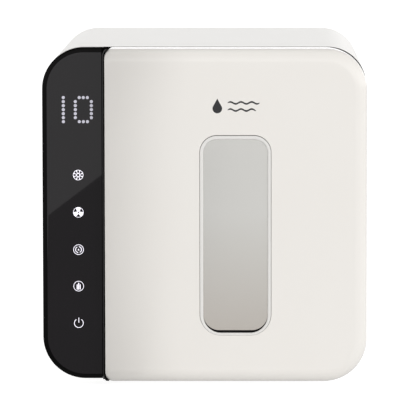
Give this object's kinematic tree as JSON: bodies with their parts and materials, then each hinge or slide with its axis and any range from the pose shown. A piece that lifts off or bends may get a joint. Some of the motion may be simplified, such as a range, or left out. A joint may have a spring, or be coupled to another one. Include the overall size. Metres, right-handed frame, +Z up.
{
  "type": "bottle sterilizer",
  "caption": "Countertop UV bottle sterilizer: rounded white case, black touch column, side hinged door with a tall mirror window, steel chamber with wire shelf, rack and tray.",
  "frame": {"origin": "on the counter, under the middle of the body's bounding box", "axes": "-Y is the front (door) side, +X is to the right seen from the front, +Z is up"},
  "size_m": [0.312, 0.3, 0.3268],
  "materials": {
    "case_white": "soft gloss, warm white",
    "inner_white": "matte, warm white",
    "door_white": "soft gloss, warm white",
    "ring_white": "gloss, warm white",
    "black_gloss": "gloss black",
    "panel_glass": "black backed glass with lit marks",
    "black_plastic": "satin black",
    "display": "lit dots",
    "film": "amber film",
    "board": "green solder mask",
    "cable_grey": "grey sleeve",
    "mirror_pane": "mirror coated glass",
    "rubber_black": "matte black",
    "rubber_grey": "matte grey silicone",
    "steel_sheet": "brushed",
    "steel_wire": "polished wire",
    "steel_plain": "plain zinc finish",
    "lamp_glass": "clear quartz",
    "lamp_socket": "white glazed",
    "tray_clear": "pale translucent",
    "transformer": "varnished",
    "capacitor": "dark blue sleeve",
    "heater": "bare fins",
    "bush": "natural acetal",
    "plunger_red": "red",
    "filter_media": "pleated fleece"
  },
  "bodies": {
    "cabinet": {"outer_case": "case_white", "front_frame": "inner_white", "rear_cover": "inner_white", "foot_front_left": "rubber_black", "foot_front_right": "rubber_black", "foot_rear_left": "rubber_black", "foot_rear_right": "rubber_black", "control_panel_housing": "black_gloss", "control_panel_glass": "panel_glass", "panel_board": "board", "dot_matrix_display": "display", "touch_sensor_film": "film", "buzzer": "black_plastic", "control_cable": "cable_grey", "chamber_liner": "steel_sheet", "shelf_rail_left": "steel_sheet", "shelf_rail_right": "steel_sheet", "uv_lamp_upper": "lamp_glass", "uv_lamp_rear": "lamp_glass", "lamp_holder_upper_left": "lamp_socket", "lamp_holder_upper_right": "lamp_socket", "lamp_holder_rear_left": "lamp_socket", "lamp_holder_rear_right": "lamp_socket", "lamp_guard_upper": "steel_sheet", "lamp_guard_rear": "steel_sheet", "lamp_ballast": "steel_plain", "power_board": "board", "power_transformer": "transformer", "filter_capacitor": "capacitor", "relay": "black_plastic", "power_inlet": "black_plastic", "mains_wire": "rubber_black", "fan_housing": "black_plastic", "fan_motor": "steel_plain", "ptc_heater": "heater", "air_duct": "steel_plain", "thermal_cutout": "steel_plain", "door_switch": "black_plastic", "catch_plate": "steel_plain", "hinge_bracket_upper": "steel_plain", "hinge_bracket_lower": "steel_plain", "hinge_bush_upper": "bush", "hinge_bush_lower": "bush"},
    "door": {"door_cover": "door_white", "door_frame": "black_gloss", "door_liner": "steel_sheet", "window_bezel": "ring_white", "window_pane": "mirror_pane", "window_gasket": "rubber_black", "door_seal": "rubber_grey", "door_magnet": "steel_plain", "hinge_pin_upper": "steel_plain", "hinge_pin_lower": "steel_plain"},
    "shelf": {"upper_shelf": "steel_wire"},
    "rack": {"lower_rack": "steel_wire"},
    "tray": {"drip_tray": "tray_clear"},
    "plunger": {"switch_plunger": "plunger_red"},
    "impeller": {"fan_impeller": "black_plastic"},
    "filter": {"filter_cover": "inner_white", "air_filter": "filter_media"}
  },
  "joints": [
    {"name": "door_hinge", "type": "hinge", "parent": "cabinet", "child": "door", "pos_m": [0.151, -0.1255, 0.164], "axis": [0, 0, 1], "range_deg": [0, 110]},
    {"name": "fan_spin", "type": "hinge", "parent": "cabinet", "child": "impeller", "pos_m": [0.024, 0.113, 0.152], "axis": [0, 1, 0], "continuous": true},
    {"name": "filter_slide", "type": "slide", "parent": "cabinet", "child": "filter", "axis": [0, 1, 0], "range_m": [0, 0.03]},
    {"name": "upper_shelf_slide", "type": "slide", "parent": "cabinet", "child": "shelf", "axis": [0, -1, 0], "range_m": [0, 0.105]},
    {"name": "lower_rack_slide", "type": "slide", "parent": "cabinet", "child": "rack", "axis": [0, -1, 0], "range_m": [0, 0.1]},
    {"name": "drip_tray_slide", "type": "slide", "parent": "cabinet", "child": "tray", "axis": [0, -1, 0], "range_m": [0, 0.09]},
    {"name": "switch_plunger_slide", "type": "slide", "parent": "cabinet", "child": "plunger", "axis": [0, -1, 0], "range_m": [0, 0.003]}
  ],
  "couplings": [
    {"joint": "upper_shelf_slide", "follows": "door_hinge", "m_per_rad": 0.0546},
    {"joint": "lower_rack_slide", "follows": "door_hinge", "m_per_rad": 0.052},
    {"joint": "drip_tray_slide", "follows": "door_hinge", "m_per_rad": 0.0468},
    {"joint": "switch_plunger_slide", "follows": "door_hinge", "m_per_rad": 0.00156}
  ]
}
